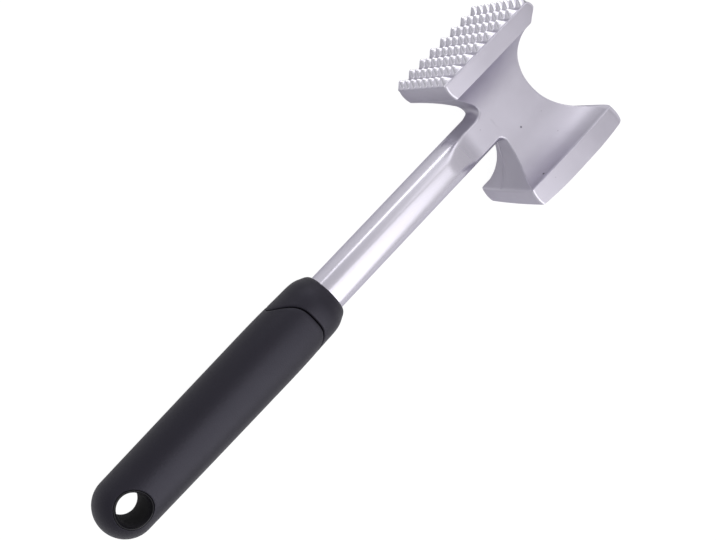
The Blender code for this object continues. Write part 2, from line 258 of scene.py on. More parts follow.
def station(y, inset=0.0):
    """One closed outline across the head, with how strongly each of its points is painted paler as edge
    wear and painted highlight.

    It runs along the top towards the far end, down, back along the bottom and up.
    """
    height, mouth, flank = saddle_height(y), mouth_reach(y), flank_reach(y)

    def top(x):
        crown = side_crown * max(1 - (x / half_length) ** 2, 0.0)
        return soft_min(half_width + crown, height, crease_blend) - inset

    hollow = {1: mouth, -1: flank}
    blend = {1: far_mouth_blend, -1: mouth_blend}
    plate = {side: half_length - end_fall(y, side) for side in (1, -1)}

    def end(z, side):
        crown = end_crown * max(1 - (z / half_width) ** 2, 0.0)
        return soft_min(plate[side] + crown, hollow[side], blend[side]) - inset

    lift = soft_min(half_width, height, crease_blend) - inset
    reach = {side: soft_min(plate[side], hollow[side], blend[side]) - inset for side in (1, -1)}
    kept = corner_radius - (plate[-1] - inset - reach[-1]) - inset
    radius = {1: max(far_rim(y) - inset, edge_radius),
              -1: max(edge_radius, min(kept, lift - waist_half + edge_radius))}
    # The crease and mouth values are partly edge wear and partly a painted highlight: the material paints
    # these edges paler.
    crease_wear_and_highlight = nearness(half_width, height, crease_blend)
    mouth_wear_and_highlight = {side: nearness(plate[side], hollow[side], mouth_blend) for side in (1, -1)}
    ups = uprights(lift - edge_radius)
    on_flank = min(max((plate[-1] - inset - reach[-1]) / die_step_run, 0.0), 1.0)

    def corner(side, up, share):
        """A point of a rounded corner: share 0 is on the top or bottom, 1 on the end."""
        angle = math.pi / 2 * share
        r = radius[side]
        x = reach[side] - r * (1 - math.sin(angle))
        if side < 0 < up:
            x -= die_step * on_flank * math.sin(angle)
        z = lift - r * (1 - math.cos(angle))
        x += end(z, side) - reach[side]
        z += top(x) - lift
        return (side * x, y, up * z), math.sin(2 * angle)

    def level(up):
        low, high = -(reach[-1] - radius[-1]), reach[1] - radius[1]
        xs = [low] + run(low + support, high - support, sides_along - 2) + [high - support, high]
        return [((x, y, up * top(x)), crease_wear_and_highlight) for x in xs]

    def upright(side):
        points = []
        for share in ups:
            z = share * (lift - radius[side])
            out = end(z, side)
            if side < 0 and share == ups[sides_up // 2]:
                out += parting_height * on_flank
            elif side < 0 and share > ups[sides_up // 2]:
                out -= die_step * on_flank
            points.append(((side * out, y, z), mouth_wear_and_highlight[side]))
        return points

    shares = [step / corner_steps for step in range(1, corner_steps)]
    loop = level(1)
    loop += [corner(1, 1, share) for share in shares]
    loop += list(reversed(upright(1)))
    loop += [corner(1, -1, 1 - share) for share in shares]
    loop += list(reversed(level(-1)))
    loop += [corner(-1, -1, share) for share in shares]
    loop += upright(-1)
    loop += [corner(-1, 1, 1 - share) for share in shares]
    return loop


def arc_run(start, stop, count):
    """Places along the saddle that are evenly spaced on its round."""
    def angle(y):
        return math.asin(max(-1.0, min(1.0, (abs(y - saddle_middle) - waist_flat / 2) / saddle_radius)))
    side = 1 if start > saddle_middle else -1
    turns = run(angle(start), angle(stop), count)
    return [saddle_middle + side * (waist_flat / 2 + saddle_radius * math.sin(turn)) for turn in turns]


def fillet_station(side):
    """Where the neck's fillet leaves a flank, as a distance along Y."""
    reach = toothed_fillet if side > 0 else flat_fillet
    root = Vector((near_floor, shank_radius))
    for point in reversed(flanks[side]):
        if point.y > shank_radius and (point - root).length >= reach:
            return side * point.y
    return side * shank_radius


join_low, join_high = fillet_station(-1), fillet_station(1)
flat_side = saddle_middle - waist_flat / 2
toothed_side = saddle_middle + waist_flat / 2
places = run(-flat_reach + face_rounding, flat_crease_from, count=8)
places += run(flat_crease_from, flat_crease_to, count=26)
places += arc_run(flat_crease_to, join_low, count=20)
places += arc_run(join_low, flat_side, count=9)
places += run(flat_side, toothed_side, count=8)
places += arc_run(toothed_side, join_high, count=12)
places += arc_run(join_high, toothed_crease_from, count=18)
places += run(toothed_crease_from, toothed_crease_to, count=18)
places += run(toothed_crease_to, far_edge_from, count=4)
places += run(far_edge_from, far_edge_to, count=9)
places += run(far_edge_to, root_y - toothed_rounding, count=5)
places.append(root_y - toothed_rounding)


def face_offset(x):
    """How far the smooth striking face has fallen away at a place along it."""
    share = (abs(x) - flat_land / 2) / (half_length + end_crown - flat_land / 2)
    return flat_crown * max(share, 0.0) ** 2


def crowned(point):
    """Carries the smooth face's crown up into its plate, so that the band follows it."""
    x, y, z = point
    share = min(max((-y - crown_from) / (flat_reach - crown_from), 0.0), 1.0)
    return x, y + face_offset(x) * share, z


def close_face(shape, ring, wear_and_highlight):
    """Fills a plate's face with a grid between its four rounded sides."""
    half = corner_steps // 2
    across, down = sides_along + corner_steps, sides_up + corner_steps
    turned = ring[-half:] + ring[:-half]
    top = turned[:across + 1]
    far = turned[across:across + down + 1]
    bottom = list(reversed(turned[across + down:2 * across + down + 1]))
    near = list(reversed(turned[2 * across + down:] + turned[:1]))
    grid = [[None] * (down + 1) for _ in range(across + 1)]
    for i in range(across + 1):
        for j in range(down + 1):
            if j == 0:
                grid[i][j] = top[i]
            elif j == down:
                grid[i][j] = bottom[i]
            elif i == 0:
                grid[i][j] = near[j]
            elif i == across:
                grid[i][j] = far[j]
            else:
                u, v = i / across, j / down
                place = top[i].co * (1 - v) + bottom[i].co * v
                place += near[j].co * (1 - u) + far[j].co * u
                place -= top[0].co * (1 - u) * (1 - v) + top[-1].co * u * (1 - v)
                place -= bottom[0].co * (1 - u) * v + bottom[-1].co * u * v
                grid[i][j] = shape.verts.new(place)
                grid[i][j][wear_and_highlight] = 0.0
    for i in range(across):
        for j in range(down):
            shape.faces.new((grid[i][j], grid[i + 1][j], grid[i + 1][j + 1], grid[i][j + 1]))


def neck_edge(side, t):
    """The neck's upper edge in plan, from a flank round the fillet to the shank's flat."""
    join = join_high if side > 0 else join_low
    leave = Vector((-flank_reach(join), join))
    meet = Vector((-neck_end, side * neck_corner_y))
    if side < 0:
        meet.x = -(near_floor + flat_fillet * neck_meet_share)
    turn = Vector((-near_floor, side * (shank_radius + neck_corner_y) / 2))
    return leave * (1 - t) ** 2 + turn * 2 * t * (1 - t) + meet * t * t


def neck_ring(t, tops):
    """One ring round the neck, while the fillets turn its flanks into the shank."""
    inward = {side: Vector((1 - t, -side * t)).normalized() for side in (1, -1)}
    edge = {side: neck_edge(side, t) for side in (1, -1)}
    start = {side: edge[side] + inward[side] * edge_radius for side in (1, -1)}
    back = Vector((edge_radius, 0))
    first, last = neck_edge(-1, 0) + back, neck_edge(1, 0) + back
    meet = {side: neck_edge(side, 1) - Vector((0, side * edge_radius)) for side in (1, -1)}
    plan = []
    for x, y in tops:
        u = (y - tops[0][1]) / (tops[-1][1] - tops[0][1])
        there = meet[-1] * (1 - u) + meet[1] * u
        place = Vector((x, y)) * (1 - t) + there * t + start[-1] * (1 - u) + start[1] * u
        place -= (first * (1 - u) + last * u) * (1 - t) + (meet[-1] * (1 - u) + meet[1] * u) * t
        plan.append(place)

    def side_points(side):
        lift = saddle_height(edge[side].y)
        ups = list(reversed(uprights(lift - edge_radius)))
        places = []
        # Each rounded neck edge gets a value that the material paints paler, partly as wear and partly as
        # a painted highlight.
        for share in (step / corner_steps for step in range(1, corner_steps)):
            angle = math.pi / 2 * share
            inset, drop = edge_radius * (1 - math.sin(angle)), edge_radius * (1 - math.cos(angle))
            places.append((inset, lift - drop, math.sin(2 * angle)))
        upright = [(0.0, up * (lift - edge_radius), 0.0) for up in ups]
        places = places + upright + [(inset, -z, worn_and_lit) for inset, z, worn_and_lit in reversed(places)]
        points = []
        for inset, z, worn_and_lit in places:
            round_out = math.sqrt(max(shank_radius ** 2 - z ** 2, 0.0)) - neck_corner_y
            out = max(round_out, 0.0) * t * t * (3 - 2 * t) - inset
            if z == upright[sides_up // 2][1]:
                out += parting_height
            elif z > upright[sides_up // 2][1]:
                out -= die_step * (1 - t)
            spot = edge[side] - inward[side] * out
            points.append(((spot.x, spot.y, z), worn_and_lit))
        return points

    above = [((p.x, p.y, saddle_height(p.y)), 0.0) for p in plan]
    below = [((p.x, p.y, -saddle_height(p.y)), 0.0) for p in reversed(plan)]
    return above + side_points(1) + below + list(reversed(side_points(-1)))


def shank_ring(x, radius, angles):
    """One ring of the shank. The saddle's flats run on along it and fade out."""
    share = min(max((-x - runout_start) / (runout_end - runout_start), 0.0), 1.0)
    past = max(-x - runout_start, 0.0)
    rise = past * past / (2 * runout_ease) if past < runout_ease else past - runout_ease / 2
    points = []
    for angle in angles:
        y, z = radius * math.sin(angle), radius * math.cos(angle)
        worn_and_lit = 0.0
        if -x < runout_end:
            flat = saddle_height(y) + runout_slope * rise
            blend = runout_first_blend + (runout_blend - runout_first_blend) * min(share * 2, 1.0)
            # The run-out's edge is painted paler, partly as wear and partly as a painted highlight.
            worn_and_lit = nearness(abs(z), flat, runout_wear_and_highlight) * (1 - share)
            z = math.copysign(soft_min(abs(z), flat, blend), z)
        points.append(((x, y, z), worn_and_lit))
    return points


def add_ring(shape, wear_and_highlight, points):
    """Adds one ring of vertices, each with its painted edge wear and highlight."""
    ring = []
    for place, worn_and_lit in points:
        vertex = shape.verts.new(place)
        vertex[wear_and_highlight] = worn_and_lit
        ring.append(vertex)
    return ring


def bridge(shape, first, second):
    """Joins two rings of as many vertices by quads."""
    for step in range(len(first)):
        after = (step + 1) % len(first)
        shape.faces.new((first[step], first[after], second[after], second[step]))


def finish_mesh(name, shape, place, sharp=None):
    """Turns a bmesh into a smooth-shaded object at the origin, with its place in its mesh."""
    bmesh.ops.translate(shape, verts=shape.verts, vec=place)
    bmesh.ops.recalc_face_normals(shape, faces=shape.faces)
    mesh = bpy.data.meshes.new(name)
    shape.to_mesh(mesh)
    shape.free()
    mesh.shade_smooth()
    if sharp is not None:
        mesh.set_sharp_from_angle(angle=sharp)
    piece = bpy.data.objects.new(name, mesh)
    bpy.context.scene.collection.objects.link(piece)
    return piece


casting_shape = bmesh.new()
# Each vertex holds how strongly its edge is painted paler, partly as wear and partly as a painted
# highlight.
wear_and_highlight_layer = casting_shape.verts.layers.float.new("edge_wear_and_highlight")

loops = [[(crowned(point), 0.0) for point, worn_and_lit in station(-flat_reach, face_cap_inset)]]
for angle in run(0.0, math.pi / 2, face_steps):
    inset = face_rounding * (1 - math.sin(angle))
    outline = station(-flat_reach + face_rounding * (1 - math.cos(angle)), inset)
    loops.append([(crowned(point), math.sin(2 * angle)) for point, worn_and_lit in outline])
for y in places:
    loops.append([(crowned(point), worn_and_lit) for point, worn_and_lit in station(y)])
for step in range(1, toothed_face_steps + 1):
    angle = math.pi / 2 * step / toothed_face_steps
    inset = toothed_rounding * (1 - math.cos(angle))
    loops.append(station(root_y - toothed_rounding * (1 - math.sin(angle)), inset))
rings = [add_ring(casting_shape, wear_and_highlight_layer, points) for points in loops]

lead = face_steps + 1
low_join = lead + min(range(len(places)), key=lambda k: abs(places[k] - join_low))
high_join = lead + min(range(len(places)), key=lambda k: abs(places[k] - join_high))
columns = len(rings[0])
neck_columns = 2 * corner_steps + sides_up
for index in range(len(rings) - 1):
    for column in range(columns):
        if low_join <= index < high_join and column >= columns - neck_columns:
            continue
        after = (column + 1) % columns
        casting_shape.faces.new((rings[index][column], rings[index][after],
                                 rings[index + 1][after], rings[index + 1][column]))
close_face(casting_shape, rings[0], wear_and_highlight_layer)
close_face(casting_shape, rings[-1], wear_and_highlight_layer)

opening = [rings[index][0] for index in range(low_join, high_join + 1)]
opening += [rings[high_join][column] for column in range(columns - 1, columns - neck_columns, -1)]
opening += [rings[index][columns - neck_columns] for index in range(high_join, low_join - 1, -1)]
opening += [rings[low_join][column] for column in range(columns - neck_columns + 1, columns)]
tops = [(vertex.co.x, vertex.co.y) for vertex in opening[:high_join - low_join + 1]]
last_ring = opening
for step in range(1, neck_steps + 1):
    points = neck_ring(step / neck_steps, tops)
    ring = add_ring(casting_shape, wear_and_highlight_layer, points)
    bridge(casting_shape, last_ring, ring)
    last_ring = ring
angles = [math.atan2(vertex.co.y, vertex.co.z) for vertex in last_ring]
shank_places = run(-shaft_start, -runout_start, count=4)
shank_places += run(-runout_start, -runout_end, count=30)
shank_places += run(-runout_end, seat_x, count=14) + [seat_x]
for x in shank_places:
    ring = add_ring(casting_shape, wear_and_highlight_layer, shank_ring(x, shank_radius, angles))
    bridge(casting_shape, last_ring, ring)
    last_ring = ring
tang_line = [(seat_x, tang_radius)]
for share in tang_groove_shares:
    middle = seat_x + share * (tang_end_x - seat_x)
    front, back = middle + tang_groove_width / 2, middle - tang_groove_width / 2
    tang_line += [(front, tang_radius), (front - tang_groove, tang_radius - tang_groove),
                  (back + tang_groove, tang_radius - tang_groove), (back, tang_radius)]
tang_line += [(tang_end_x + tang_groove, tang_radius), (tang_end_x, tang_radius - tang_groove)]
for x, radius in tang_line:
    ring = add_ring(casting_shape, wear_and_highlight_layer, shank_ring(x, radius, angles))
    bridge(casting_shape, last_ring, ring)
    last_ring = ring
casting_shape.faces.new(last_ring)
casting = finish_mesh("head_casting", casting_shape, crossing, sharp_edge)


def hex_colour(code):
    """An sRGB hex colour as the linear colour that a shader takes."""
    channels = [int(code[at:at + 2], 16) / 255 for at in (1, 3, 5)]
    return (*[c / 12.92 if c <= 0.04045 else ((c + 0.055) / 1.055) ** 2.4 for c in channels], 1.0)


def add_node(tree, kind, inputs=None, **settings):
    """Adds one node. An input takes a value, or another node's output to link from."""
    node = tree.nodes.new(kind)
    for name, value in settings.items():
        setattr(node, name, value)
    for name, value in (inputs or {}).items():
        if isinstance(value, bpy.types.NodeSocket):
            tree.links.new(value, node.inputs[name])
        else:
            node.inputs[name].default_value = value
    return node


def start_material(name, constants):
    """A new material with its tree, its main shader and the Object coordinates."""
    material = bpy.data.materials.new(name)
    material.use_nodes = True
    tree = material.node_tree
    shader = tree.nodes["Principled BSDF"]
    for key, value in constants.items():
        shader.inputs[key].default_value = value
    place = add_node(tree, "ShaderNodeTexCoord").outputs["Object"]
    return material, tree, shader, place


# Die-cast aluminium, tumbled to a satin and then polished on the shank. The satin spreads its highlights,
# and a faint grain and rare pores break them. Rounded edges are painted paler, partly as wear and partly
# as a painted highlight, and the whole toothed face is painted near-white, partly as bright cast skin and
# partly as a painted highlight for the teeth's glints.
polish_from = 0.0300
satin_from = 0.0262
cloud_size = 0.016
pore_spacing = 0.0085
pore_inner, pore_outer = 0.035, 0.065
pore_depth = 0.00003
grain_size, grain_height = 0.00045, 0.00001
swell_size, swell_height = 0.007, 0.00007
polished_roughness, satin_roughness, tooth_roughness = 0.19, 0.40, 0.17
cloud_roughness = 0.08
wear_and_highlight_strength = 0.55
tooth_root = crossing.y + root_y
aluminium, tree, shader, place = start_material(
    "die_cast_aluminium", {"Metallic": 1.0, "Specular Tint": hex_colour("#E8E6EE")})
axes = add_node(tree, "ShaderNodeSeparateXYZ", {"Vector": place}).outputs
satin = add_node(tree, "ShaderNodeMapRange", {
    "Value": axes["X"], "From Min": crossing.x - polish_from, "From Max": crossing.x - satin_from,
}, interpolation_type="SMOOTHSTEP").outputs["Result"]
tooth_side = add_node(tree, "ShaderNodeMapRange", {
    "Value": axes["Y"], "From Min": tooth_root - 0.0001, "From Max": tooth_root + 0.0006,
}).outputs["Result"]
cloud = add_node(tree, "ShaderNodeTexNoise", {
    "Vector": place, "Scale": 1 / cloud_size, "Detail": 3.0, "Roughness": 0.55,
}).outputs["Fac"]
tone = add_node(tree, "ShaderNodeMix", {
    0: cloud, 6: hex_colour("#BFBCC6"), 7: hex_colour("#CCC9D3"),
}, data_type="RGBA").outputs[2]
cell = add_node(tree, "ShaderNodeTexVoronoi", {"Vector": place, "Scale": 1 / pore_spacing})
pore = add_node(tree, "ShaderNodeMapRange", {
    "Value": cell.outputs["Distance"], "From Min": pore_inner, "From Max": pore_outer,
}).outputs["Result"]
# Painted shade: the pores are mixed to a dark grey, standing in for the shade inside the pits.
pore_shaded = add_node(tree, "ShaderNodeMix", {
    0: pore, 6: hex_colour("#77747E"), 7: tone,
}, data_type="RGBA").outputs[2]
polished = add_node(tree, "ShaderNodeMix", {
    0: satin, 6: hex_colour("#DDDAE4"), 7: pore_shaded,
}, data_type="RGBA").outputs[2]
# Painted highlight: rounded edges and the whole toothed face are mixed towards a near-white, partly as
# wear and partly to stand in for glints.
wear_and_highlight = add_node(tree, "ShaderNodeAttribute", attribute_name="edge_wear_and_highlight").outputs["Fac"]
worn_and_lit = add_node(tree, "ShaderNodeMath", {
    0: wear_and_highlight, 1: wear_and_highlight_strength, 2: tooth_side,
}, operation="MULTIPLY_ADD", use_clamp=True).outputs[0]
rubbed_and_lit = add_node(tree, "ShaderNodeMix", {
    0: worn_and_lit, 6: polished, 7: hex_colour("#EAE8F0"),
}, data_type="RGBA").outputs[2]
tree.links.new(rubbed_and_lit, shader.inputs["Base Color"])
finish = add_node(tree, "ShaderNodeMapRange", {
    "Value": satin, "To Min": polished_roughness, "To Max": satin_roughness,
}).outputs["Result"]
patchy = add_node(tree, "ShaderNodeMath", {
    0: cloud, 1: cloud_roughness, 2: finish,
}, operation="MULTIPLY_ADD").outputs[0]
smoothed = add_node(tree, "ShaderNodeMix", {
    0: tooth_side, 2: patchy, 3: tooth_roughness,
}, data_type="FLOAT").outputs[0]
tree.links.new(smoothed, shader.inputs["Roughness"])
# The grain of the die is near 0.2 mm and is drawn at 0.45 mm, so that it shows
grain = add_node(tree, "ShaderNodeTexNoise", {
    "Vector": place, "Scale": 1 / grain_size, "Detail": 2.0,
}).outputs["Fac"]
swell = add_node(tree, "ShaderNodeTexNoise", {
    "Vector": place, "Scale": 1 / swell_size, "Detail": 1.0,
}).outputs["Fac"]
grained = add_node(tree, "ShaderNodeMath", {0: grain, 1: grain_height}, operation="MULTIPLY").outputs[0]
waved = add_node(tree, "ShaderNodeMath", {
    0: swell, 1: swell_height, 2: grained,
}, operation="MULTIPLY_ADD").outputs[0]
pitted = add_node(tree, "ShaderNodeMath", {
    0: pore, 1: pore_depth, 2: waved,
}, operation="MULTIPLY_ADD").outputs[0]
relief = add_node(tree, "ShaderNodeMath", {0: pitted, 1: satin}, operation="MULTIPLY").outputs[0]
bump = add_node(tree, "ShaderNodeBump", {"Height": relief, "Distance": 1.0, "Strength": 1.0})
tree.links.new(bump.outputs["Normal"], shader.inputs["Normal"])

casting.data.materials.append(aluminium)
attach(casting, "root")
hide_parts("cast_head")


# The teeth. They are cast on the plate's face in eight rows of eight: four-sided points with a
# small flat tip and a soft foot, and the corner ones are trimmed by the plate's rounded corners.

tooth_columns = 8
tooth_rows = 8
tooth_tip = 0.0009
tooth_valley = 0.0012
tooth_margin = 0.0002
tooth_pitch = (2 * (half_length - tooth_margin) + tooth_valley) / tooth_rows
pitch_across = (2 * (half_width - tooth_margin) + tooth_valley) / tooth_columns
tooth_foot = tooth_pitch - tooth_valley
across_share = (pitch_across - tooth_valley) / tooth_foot
tooth_slope = (tooth_foot - tooth_tip) / 2 / tooth_height
tooth_sink = 0.0006
tooth_spread = 0.04
tooth_rounding = 0.00045
tooth_rounding_share = 0.45

tooth_shape = bmesh.new()
profile = [(-tooth_sink, 0.00022), (0.0, 0.00018), (0.00010, 0.00008), (0.00030, 0.0),
           (tooth_height * 0.5, 0.0), (tooth_height - 0.00045, 0.0), (tooth_height - 0.00018, -0.00004),
           (tooth_height - 0.00005, -0.00013), (tooth_height, -0.00026)]
tooth_rings = []
for height, flare in profile:
    half = tooth_foot / 2 - tooth_slope * max(height, 0.0) + flare
    rounding = min(tooth_rounding, half * tooth_rounding_share)
    ring = []
    for quarter in range(4):
        for share in (0.0, 0.5, 1.0):
            angle = math.pi / 2 * (quarter + share)
            turn = math.pi / 2 * quarter
            centre = Vector((math.cos(turn) - math.sin(turn), math.sin(turn) + math.cos(turn)))
            centre *= half - rounding
            x, z = centre.x + rounding * math.cos(angle), centre.y + rounding * math.sin(angle)
            ring.append(tooth_shape.verts.new((x, height, z * across_share)))
    tooth_rings.append(ring)
for first, second in zip(tooth_rings, tooth_rings[1:]):
    bridge(tooth_shape, first, second)
tooth_shape.faces.new(tooth_rings[0])
tooth_shape.faces.new(tooth_rings[-1])
one_tooth = finish_mesh("one_tooth", tooth_shape, Vector(), math.radians(60))

field = bpy.data.node_groups.new("tooth_field", "GeometryNodeTree")
field_inputs = (
    ("Tooth", "Object"), ("Rows", "Int"), ("Columns", "Int"), ("Pitch", "Float"),
    ("Pitch Across", "Float"), ("Height Spread", "Float"), ("Seed", "Int"),
    ("Plate Inner", "Vector"), ("Corner Radius", "Float"), ("Far Reach", "Float"),
    ("Place", "Vector"), ("Metal", "Material"),
)
for name, kind in field_inputs:
    field.interface.new_socket(name, in_out="INPUT", socket_type="NodeSocket" + kind)
field.interface.new_socket("Teeth", in_out="OUTPUT", socket_type="NodeSocketGeometry")
given = field.nodes.new("NodeGroupInput").outputs


def span(count, pitch):
    """The distance from the first tooth to the last of a row."""
    gaps = add_node(field, "ShaderNodeMath", {0: count, 1: 1.0}, operation="SUBTRACT").outputs[0]
    return add_node(field, "ShaderNodeMath", {0: gaps, 1: pitch}, operation="MULTIPLY").outputs[0]


points = add_node(field, "GeometryNodeMeshGrid", {
    "Size X": span(given["Rows"], given["Pitch"]), "Size Y": span(given["Columns"], given["Pitch Across"]),
    "Vertices X": given["Rows"], "Vertices Y": given["Columns"],
}).outputs["Mesh"]
laid = add_node(field, "GeometryNodeTransform", {"Geometry": points, "Rotation": (math.pi / 2, 0.0, 0.0)})
lowest = add_node(field, "ShaderNodeMath", {
    0: 1.0, 1: given["Height Spread"],
}, operation="SUBTRACT").outputs[0]
heights = add_node(field, "FunctionNodeRandomValue", {
    "Min": lowest, "Max": 1.0, "Seed": given["Seed"],
}, data_type="FLOAT").outputs["Value"]
size = add_node(field, "ShaderNodeCombineXYZ", {"X": 1.0, "Y": heights, "Z": 1.0}).outputs[0]
tooth = add_node(field, "GeometryNodeObjectInfo", {"Object": given["Tooth"]}).outputs["Geometry"]
teeth = add_node(field, "GeometryNodeInstanceOnPoints", {
    "Points": laid.outputs[0], "Instance": tooth, "Scale": size,
})
solid = add_node(field, "GeometryNodeRealizeInstances", {"Geometry": teeth.outputs[0]})
spot = add_node(field, "GeometryNodeInputPosition").outputs[0]
plan = add_node(field, "ShaderNodeVectorMath", {
    0: spot, 1: (1.0, 0.0, 1.0),
}, operation="MULTIPLY").outputs[0]
away = add_node(field, "ShaderNodeVectorMath", {0: plan}, operation="ABSOLUTE").outputs[0]
past = add_node(field, "ShaderNodeVectorMath", {
    0: away, 1: given["Plate Inner"],
}, operation="SUBTRACT").outputs[0]
corner = add_node(field, "ShaderNodeVectorMath", {
    0: past, 1: (0.0, 0.0, 0.0),
}, operation="MAXIMUM").outputs[0]
length = add_node(field, "ShaderNodeVectorMath", {0: corner}, operation="LENGTH").outputs["Value"]
over = add_node(field, "ShaderNodeMath", {
    0: length, 1: given["Corner Radius"],
}, operation="SUBTRACT").outputs[0]
excess = add_node(field, "ShaderNodeMath", {0: over, 1: 0.0}, operation="MAXIMUM").outputs[0]
heading = add_node(field, "ShaderNodeVectorMath", {0: corner}, operation="NORMALIZE").outputs[0]
sign = add_node(field, "ShaderNodeVectorMath", {0: plan}, operation="SIGN").outputs[0]
signed = add_node(field, "ShaderNodeVectorMath", {0: heading, 1: sign}, operation="MULTIPLY").outputs[0]
back = add_node(field, "ShaderNodeMath", {0: excess, 1: -1.0}, operation="MULTIPLY").outputs[0]
shift = add_node(field, "ShaderNodeVectorMath", {0: signed, "Scale": back}, operation="SCALE").outputs[0]
trimmed = add_node(field, "GeometryNodeSetPosition", {"Geometry": solid.outputs[0], "Offset": shift})
reach = add_node(field, "ShaderNodeSeparateXYZ", {"Vector": spot}).outputs["X"]
room_left = add_node(field, "ShaderNodeMath", {
    0: given["Far Reach"], 1: reach,
}, operation="SUBTRACT").outputs[0]
pushed = add_node(field, "ShaderNodeMath", {0: room_left, 1: 0.0}, operation="MINIMUM").outputs[0]
push = add_node(field, "ShaderNodeCombineXYZ", {"X": pushed}).outputs[0]
ended = add_node(field, "GeometryNodeSetPosition", {"Geometry": trimmed.outputs[0], "Offset": push})
seated = add_node(field, "GeometryNodeTransform", {
    "Geometry": ended.outputs[0], "Translation": given["Place"],
})
coated = add_node(field, "GeometryNodeSetMaterial", {
    "Geometry": seated.outputs[0], "Material": given["Metal"],
})
field.links.new(coated.outputs[0], field.nodes.new("NodeGroupOutput").inputs["Teeth"])


def made_by(name, group, values):
    """The mesh that a node group makes from its named inputs, as a plain object."""
    holder = bpy.data.objects.new(name, bpy.data.meshes.new(name))
    bpy.context.scene.collection.objects.link(holder)
    modifier = holder.modifiers.new(group.name, "NODES")
    modifier.node_group = group
    for socket in group.interface.items_tree:
        if socket.in_out == "INPUT":
            modifier[socket.identifier] = values[socket.name]
    bpy.context.view_layer.update()
    made = holder.evaluated_get(bpy.context.evaluated_depsgraph_get())
    holder.data = bpy.data.meshes.new_from_object(made)
    holder.data.name = name
    holder.modifiers.clear()
    return holder


tooth_field = made_by("tooth_field", field, {
    "Tooth": one_tooth, "Rows": tooth_rows, "Columns": tooth_columns, "Pitch": tooth_pitch,
    "Pitch Across": pitch_across, "Height Spread": tooth_spread, "Seed": 4,
    "Plate Inner": (half_length - corner_radius, 1.0, half_width - corner_radius),
    "Corner Radius": corner_radius - tooth_margin, "Metal": aluminium,
    "Far Reach": half_length - far_nose_fall - face_rounding / 2,
    "Place": (crossing.x, crossing.y + root_y, crossing.z),
})
bpy.data.objects.remove(one_tooth, do_unlink=True)
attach(tooth_field, "root")
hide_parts("cast_head")


# The core. A hard tube is moulded on the tang and the sleeve goes over it, so that none of it
# shows. It is unpainted polypropylene with the faint flow marks of its mould.


def two_tones(tree, shader, place, darker, lighter, size, detail, roughness=0.5):
    """Clouds of a size between two close tones, as in moulded plastic. Gives the clouds back."""
    cloud = add_node(tree, "ShaderNodeTexNoise", {
        "Vector": place, "Scale": 1 / size, "Detail": detail, "Roughness": roughness,
    }).outputs["Fac"]
    tint = add_node(tree, "ShaderNodeMix", {
        0: cloud, 6: hex_colour(darker), 7: hex_colour(lighter),
    }, data_type="RGBA").outputs[2]
    tree.links.new(tint, shader.inputs["Base Color"])
    return cloud


core_plastic, tree, shader, place = start_material(
    "grey_polypropylene_core", {"Roughness": 0.5, "IOR": 1.49})
two_tones(tree, shader, place, "#38383B", "#424246", size=0.012, detail=2.0)
for material_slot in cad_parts["grip_core"].material_slots:
    material_slot.material = core_plastic


# The front collar. A hard moulded ring closes the grip on the shank. Its back edge is an arched
# seam, which dips away on both sides, and a narrow groove keeps it apart from the sleeve.

grip_front = 0.1052
grip_length = 0.1190
grip_radius = 0.0128
front_radius = 0.0090
shoulder_length = 0.0090
butt_length = 0.0118
collar_length = 0.0120
seam_drop = 0.0088
core_radius = 0.0090
clearance = 0.0003
lip_depth = 0.0007
lip_width = 0.0008
lip_fade = 0.0002
shoulder_lead = 0.0008
lip_steps = 8
bore_gap = 0.00012
bore_chamfer = 0.0002
butt_x = -(grip_front + grip_length)
shoulder_shares = ((0.0, 0.0), (0.13, 0.30), (0.31, 0.54), (0.48, 0.75), (0.64, 0.88),
                   (0.80, 0.955), (1.0, 1.0))
swell_shares = ((0.0, 0.966), (0.04, 0.972), (0.18, 1.0), (0.37, 0.995), (0.57, 0.985),
                (0.77, 0.972), (1.0, 0.955))
grip_sides = 144

shoulder_x = -(grip_front + shoulder_length)
dome_x = butt_x + butt_length
long_side = shoulder_x - dome_x
line = [(shoulder_x - share * long_side, out * grip_radius) for share, out in reversed(swell_shares)]
shoulder_rise = swell_shares[0][1] * grip_radius - front_radius
line += [(-grip_front - shoulder_length * share, front_radius + shoulder_rise * out)
         for share, out in reversed(shoulder_shares[:-1])]


def smooth_through(points, x):
    """The height at x of a smooth curve through points in order of x."""
    index = max(i for i in range(len(points) - 1) if points[i][0] <= x or i == 0)
    (x0, y0), (x1, y1) = points[index], points[index + 1]

    def slope(i):
        low, high = points[max(i - 1, 0)], points[min(i + 1, len(points) - 1)]
        return (high[1] - low[1]) / (high[0] - low[0])

    t = min(max((x - x0) / (x1 - x0), 0.0), 1.0)
    ease = t * t * (3 - 2 * t)
    width = x1 - x0
    bend = slope(index) * width * t * (1 - t) ** 2 - slope(index + 1) * width * t * t * (1 - t)
    return y0 + (y1 - y0) * ease + bend


def outer_radius(x):
    """The grip's outer radius: a domed butt, a barrelled side and a round shoulder."""
    if x < dome_x:
        round_share = math.sqrt(max(1 - ((dome_x - x) / butt_length) ** 2, 0.0))
        return swell_shares[-1][1] * grip_radius * round_share
    return smooth_through(line, min(x, -grip_front))


def seam_at(angle):
    """Where the collar meets the sleeve at an angle from the top."""
    return -(grip_front + collar_length) - seam_drop * abs(math.sin(angle)) ** 4


